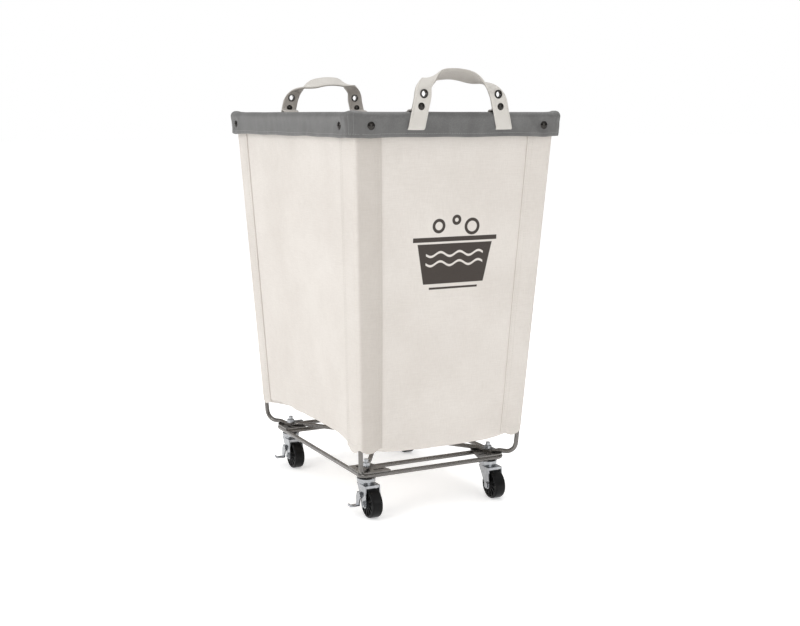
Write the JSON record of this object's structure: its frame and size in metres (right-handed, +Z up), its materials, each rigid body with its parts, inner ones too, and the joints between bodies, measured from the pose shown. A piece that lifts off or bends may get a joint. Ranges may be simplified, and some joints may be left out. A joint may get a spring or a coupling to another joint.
{
  "type": "laundry cart",
  "caption": "Rolling laundry cart: tapered canvas bag with a vinyl rim on crossing rod hoops, a base ring, swivel casters and webbing handles.",
  "frame": {"origin": "centre of the footprint on the floor, midway between the four swivel axes", "axes": "+Z up, X across the narrow faces, Y from the front face (-Y) to the rear face (+Y)"},
  "size_m": [0.4016, 0.5598, 0.7518],
  "materials": {
    "canvas": "natural woven cotton canvas",
    "webbing": "stiff woven webbing",
    "vinyl": "grey coated fabric, satin",
    "rod_grey": "grey powder coat, satin",
    "dark_steel": "black, satin",
    "zinc": "bright zinc plate",
    "ball_steel": "polished",
    "rivet_metal": "dark nickel",
    "wheel_black": "moulded, satin",
    "bush_white": "moulded"
  },
  "bodies": {
    "root": {"rim_ring": "rod_grey", "rim_binding": "vinyl", "rim_rivets": "rivet_metal", "canvas_bag": "canvas", "corner_sleeve_front_left": "canvas", "corner_sleeve_front_right": "canvas", "corner_sleeve_rear_left": "canvas", "corner_sleeve_rear_right": "canvas", "base_ring": "rod_grey", "cross_rail_front": "rod_grey", "cross_rail_rear": "rod_grey", "corner_bracket_front_left": "rod_grey", "corner_bracket_front_right": "rod_grey", "corner_bracket_rear_left": "rod_grey", "corner_bracket_rear_right": "rod_grey", "frame_hoop_upper": "rod_grey", "frame_hoop_lower": "rod_grey", "handle_rivets": "rivet_metal", "handle_feet_front": "webbing", "handle_feet_rear": "webbing", "stem_nuts": "zinc", "stem_spacers": "dark_steel", "caster_stem_front_left": "zinc", "caster_stem_front_right": "zinc", "caster_stem_rear_left": "zinc", "caster_stem_rear_right": "zinc"},
    "handle_front": {"handle_grip_front": "webbing", "handle_eyelets_front": "rivet_metal"},
    "handle_rear": {"handle_grip_rear": "webbing", "handle_eyelets_rear": "rivet_metal"},
    "caster_front_left": {"caster_fork_front_left": "zinc", "axle_front_left": "zinc", "bearing_balls_front_left": "ball_steel", "brake_pin_front_left": "zinc"},
    "rolling_front_left": {"wheel_front_left": "wheel_black", "wheel_bush_front_left": "bush_white"},
    "brake_front_left": {"brake_lever_front_left": "zinc"},
    "caster_front_right": {"caster_fork_front_right": "zinc", "axle_front_right": "zinc", "bearing_balls_front_right": "ball_steel"},
    "rolling_front_right": {"wheel_front_right": "wheel_black", "wheel_bush_front_right": "bush_white"},
    "caster_rear_left": {"caster_fork_rear_left": "zinc", "axle_rear_left": "zinc", "bearing_balls_rear_left": "ball_steel", "brake_pin_rear_left": "zinc"},
    "rolling_rear_left": {"wheel_rear_left": "wheel_black", "wheel_bush_rear_left": "bush_white"},
    "brake_rear_left": {"brake_lever_rear_left": "zinc"},
    "caster_rear_right": {"caster_fork_rear_right": "zinc", "axle_rear_right": "zinc", "bearing_balls_rear_right": "ball_steel"},
    "rolling_rear_right": {"wheel_rear_right": "wheel_black", "wheel_bush_rear_right": "bush_white"}
  },
  "joints": [
    {"name": "handle_swing_front", "type": "hinge", "parent": "root", "child": "handle_front", "pos_m": [0, -0.2753, 0.7015], "axis": [1, 0, 0], "range_deg": [-75, 90], "stiffness_Nm_per_rad": 0.05},
    {"name": "handle_swing_rear", "type": "hinge", "parent": "root", "child": "handle_rear", "pos_m": [0, 0.2753, 0.7015], "axis": [-1, 0, 0], "range_deg": [-75, 90], "stiffness_Nm_per_rad": 0.05},
    {"name": "swivel_front_left", "type": "hinge", "parent": "root", "child": "caster_front_left", "pos_m": [-0.1215, -0.1705, 0.0592], "axis": [0, 0, 1], "continuous": true},
    {"name": "roll_front_left", "type": "hinge", "parent": "caster_front_left", "child": "rolling_front_left", "pos_m": [-0.1215, -0.1925, 0.025], "axis": [1, 0, 0], "continuous": true},
    {"name": "brake_front_left", "type": "hinge", "parent": "caster_front_left", "child": "brake_front_left", "pos_m": [-0.138, -0.1795, 0.038], "axis": [-1, 0, 0], "range_deg": [0, 9]},
    {"name": "swivel_front_right", "type": "hinge", "parent": "root", "child": "caster_front_right", "pos_m": [0.1215, -0.1705, 0.0592], "axis": [0, 0, 1], "continuous": true},
    {"name": "roll_front_right", "type": "hinge", "parent": "caster_front_right", "child": "rolling_front_right", "pos_m": [0.1215, -0.1925, 0.025], "axis": [1, 0, 0], "continuous": true},
    {"name": "swivel_rear_left", "type": "hinge", "parent": "root", "child": "caster_rear_left", "pos_m": [-0.1215, 0.1705, 0.0592], "axis": [0, 0, 1], "continuous": true},
    {"name": "roll_rear_left", "type": "hinge", "parent": "caster_rear_left", "child": "rolling_rear_left", "pos_m": [-0.1215, 0.1485, 0.025], "axis": [1, 0, 0], "continuous": true},
    {"name": "brake_rear_left", "type": "hinge", "parent": "caster_rear_left", "child": "brake_rear_left", "pos_m": [-0.138, 0.1615, 0.038], "axis": [-1, 0, 0], "range_deg": [0, 9]},
    {"name": "swivel_rear_right", "type": "hinge", "parent": "root", "child": "caster_rear_right", "pos_m": [0.1215, 0.1705, 0.0592], "axis": [0, 0, 1], "continuous": true},
    {"name": "roll_rear_right", "type": "hinge", "parent": "caster_rear_right", "child": "rolling_rear_right", "pos_m": [0.1215, 0.1485, 0.025], "axis": [1, 0, 0], "continuous": true}
  ]
}
